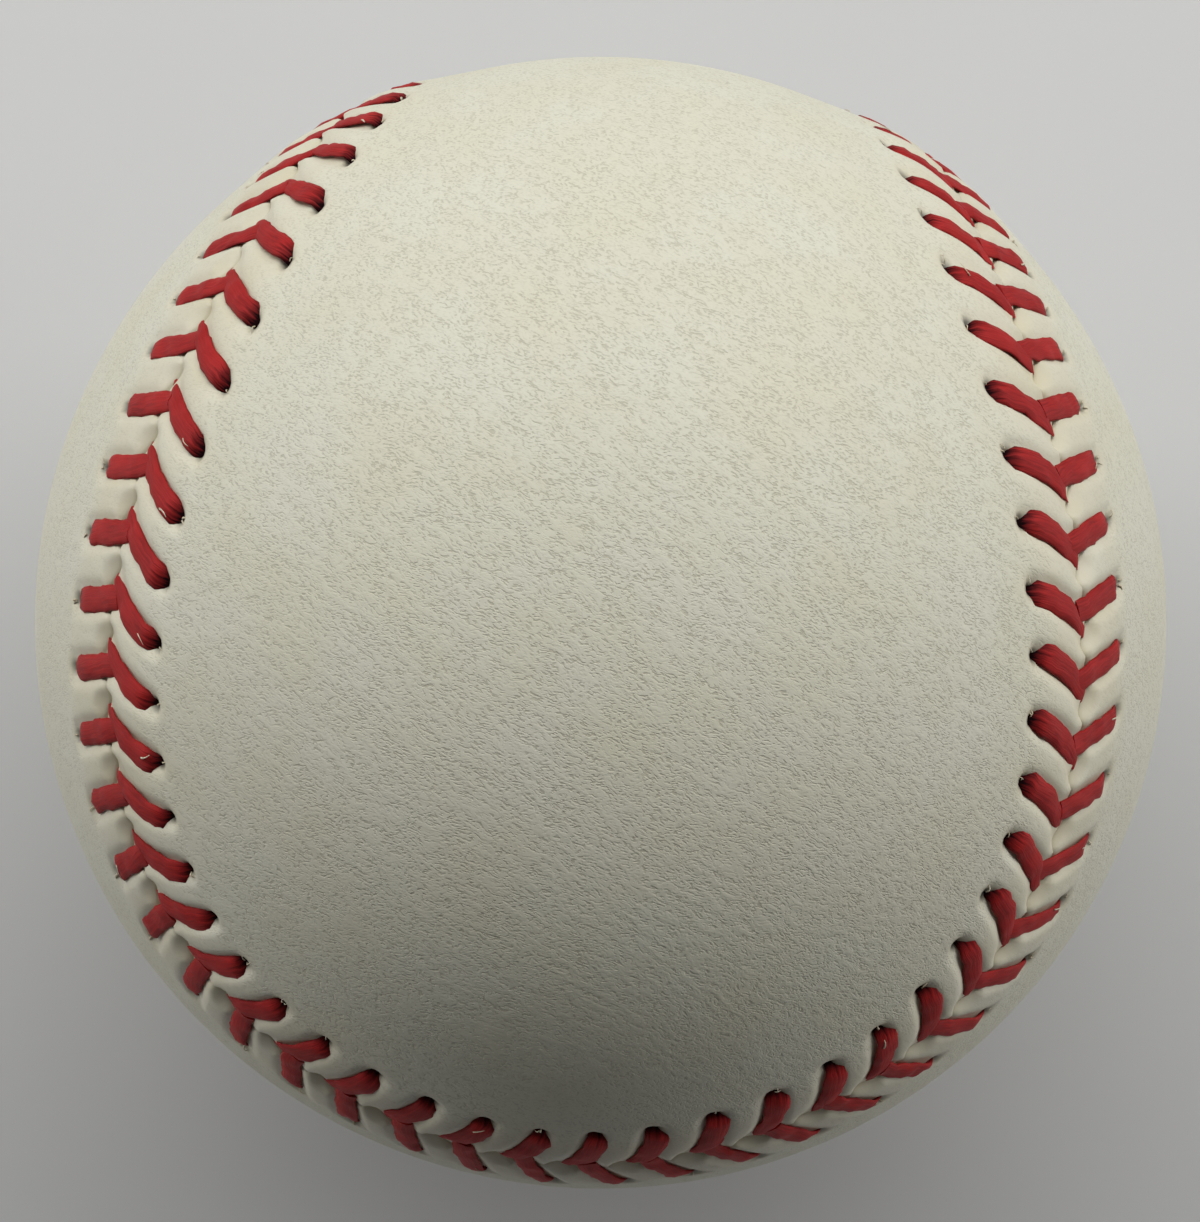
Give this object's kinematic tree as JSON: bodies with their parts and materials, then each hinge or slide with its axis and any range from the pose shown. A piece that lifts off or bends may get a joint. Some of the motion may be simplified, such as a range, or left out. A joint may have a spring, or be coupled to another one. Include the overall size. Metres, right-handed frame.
{
  "type": "baseball",
  "caption": "Hard ball for batting and throwing, with a cork and rubber pill, wool windings and white leather panels joined by a raised seam of red stitches.",
  "frame": {"origin": "middle of the ball", "axes": "+Z through the middle of the upper lobe of cover panel A, +Y through the middle of panel A's neck, +X through the middle of one lobe of panel B"},
  "size_m": [0.0744, 0.0744, 0.0744],
  "materials": {
    "cork": "granulated composition cork",
    "black_rubber": "moulded black rubber",
    "red_rubber": "moulded red rubber",
    "grey_wool": "tightly wound grey wool yarn",
    "white_wool": "tightly wound white wool yarn",
    "white_yarn": "fine wound cotton and polyester yarn",
    "cement": "dried rubber cement film",
    "cover_leather": "tanned cream white cowhide, semi-matte",
    "red_thread": "waxed red thread"
  },
  "bodies": {
    "root": {"cork_core": "cork", "core_shell_upper": "black_rubber", "core_shell_lower": "black_rubber", "core_washer": "red_rubber", "pill_jacket": "red_rubber", "first_winding": "grey_wool", "second_winding": "white_wool", "third_winding": "grey_wool", "finish_winding": "white_yarn", "cement_coat": "cement", "cover_panel_a": "cover_leather", "cover_panel_b": "cover_leather", "thread_needle_one": "red_thread", "thread_needle_two": "red_thread"}
  },
  "joints": []
}
